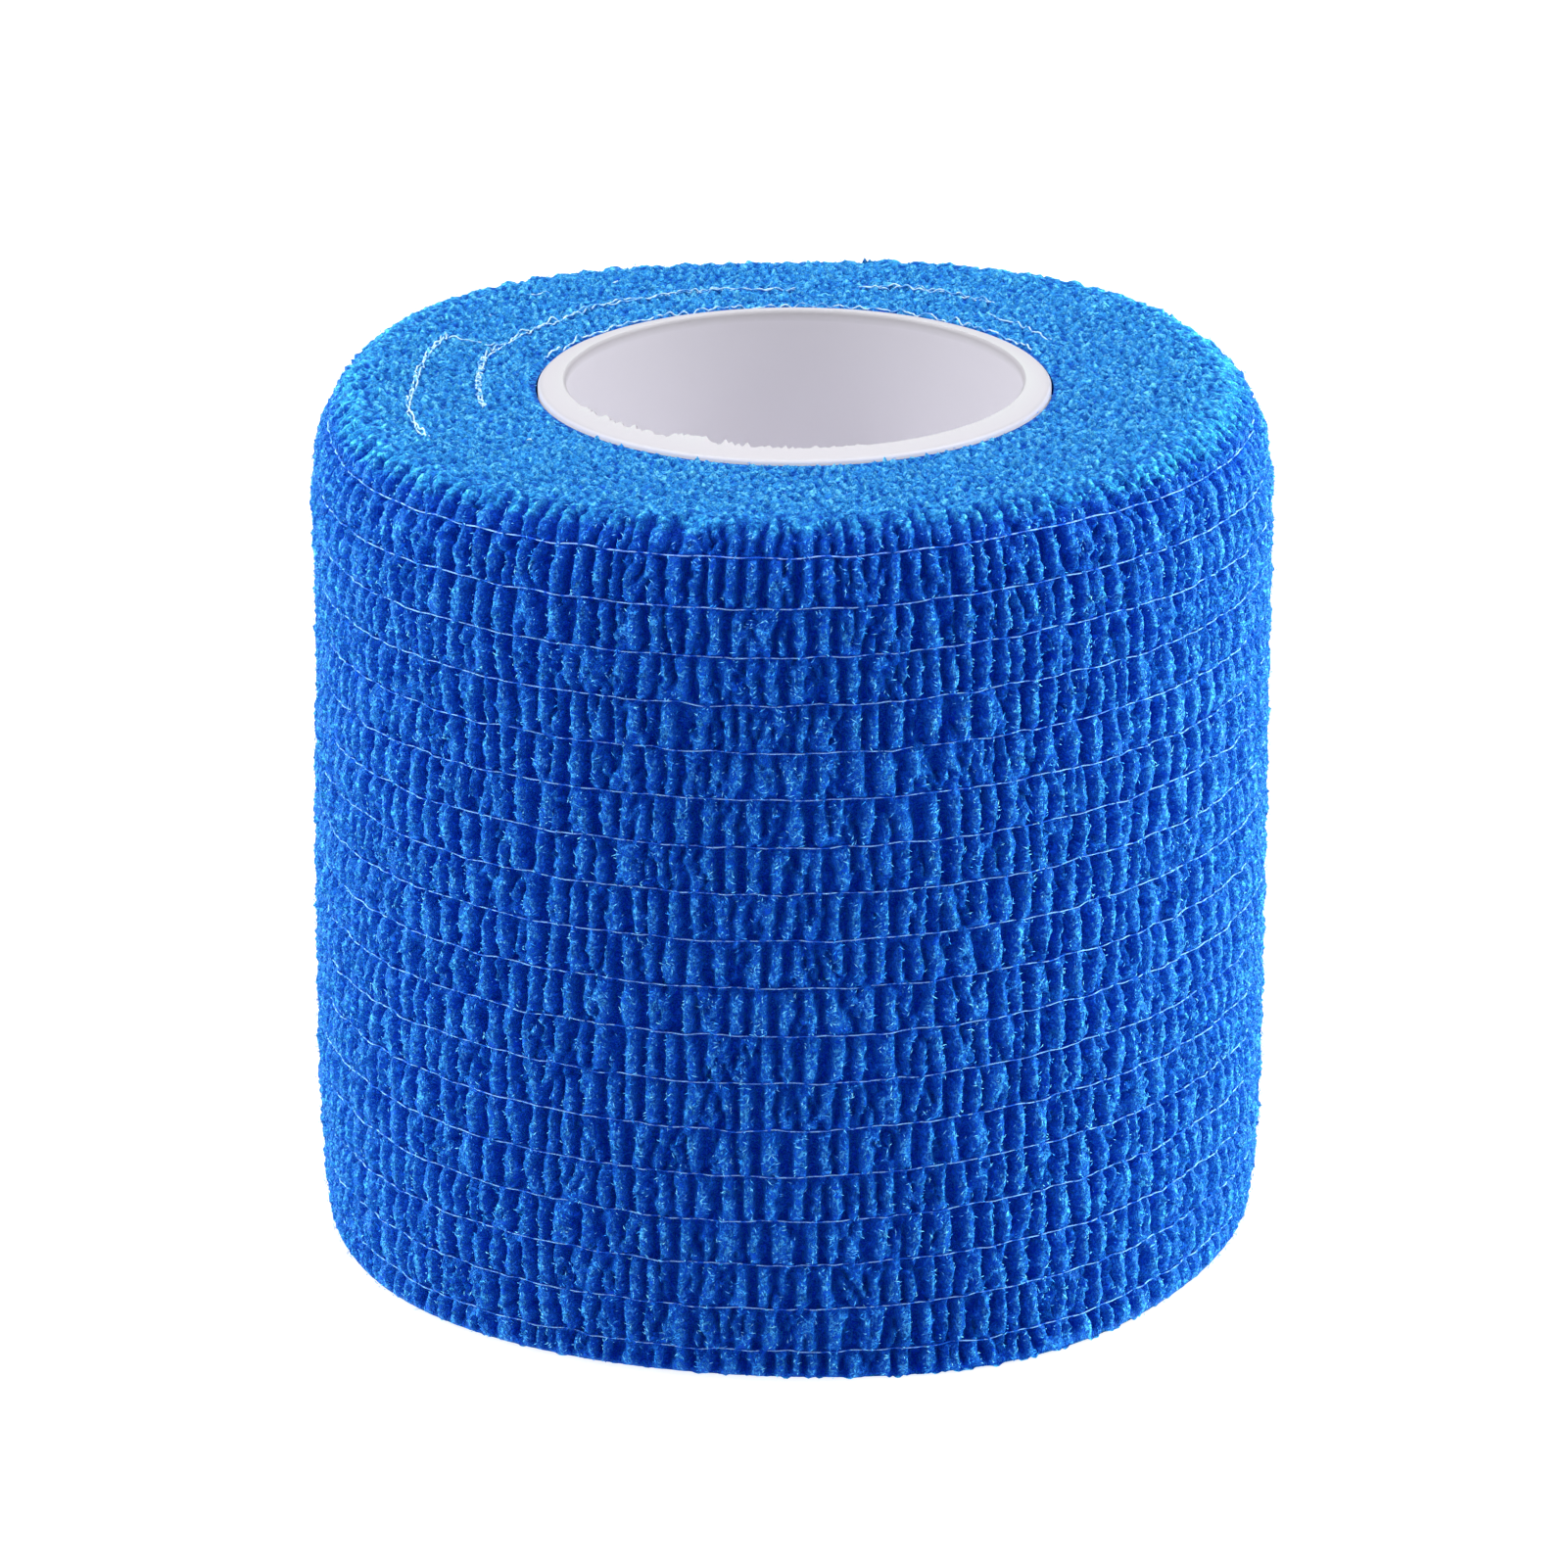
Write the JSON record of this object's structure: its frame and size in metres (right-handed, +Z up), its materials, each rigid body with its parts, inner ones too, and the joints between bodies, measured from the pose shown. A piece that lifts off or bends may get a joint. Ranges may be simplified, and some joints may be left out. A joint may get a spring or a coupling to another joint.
{
  "type": "cohesive sports tape roll",
  "caption": "Roll of crinkled, self-gripping elastic sports tape wound on a short plastic core tube, standing on one end.",
  "frame": {"origin": "the middle of the roll's footprint, on the surface that it stands on", "axes": "+Z up along the roll's axis, -Y towards the side that the picture shows, +X to its right"},
  "size_m": [0.0554, 0.0548, 0.0504],
  "materials": {
    "tape": "crinkled nonwoven cloth with elastic threads",
    "core": "satin, extruded and cut to length"
  },
  "bodies": {
    "root": {"wound_tape": "tape", "core_tube": "core"}
  },
  "joints": []
}
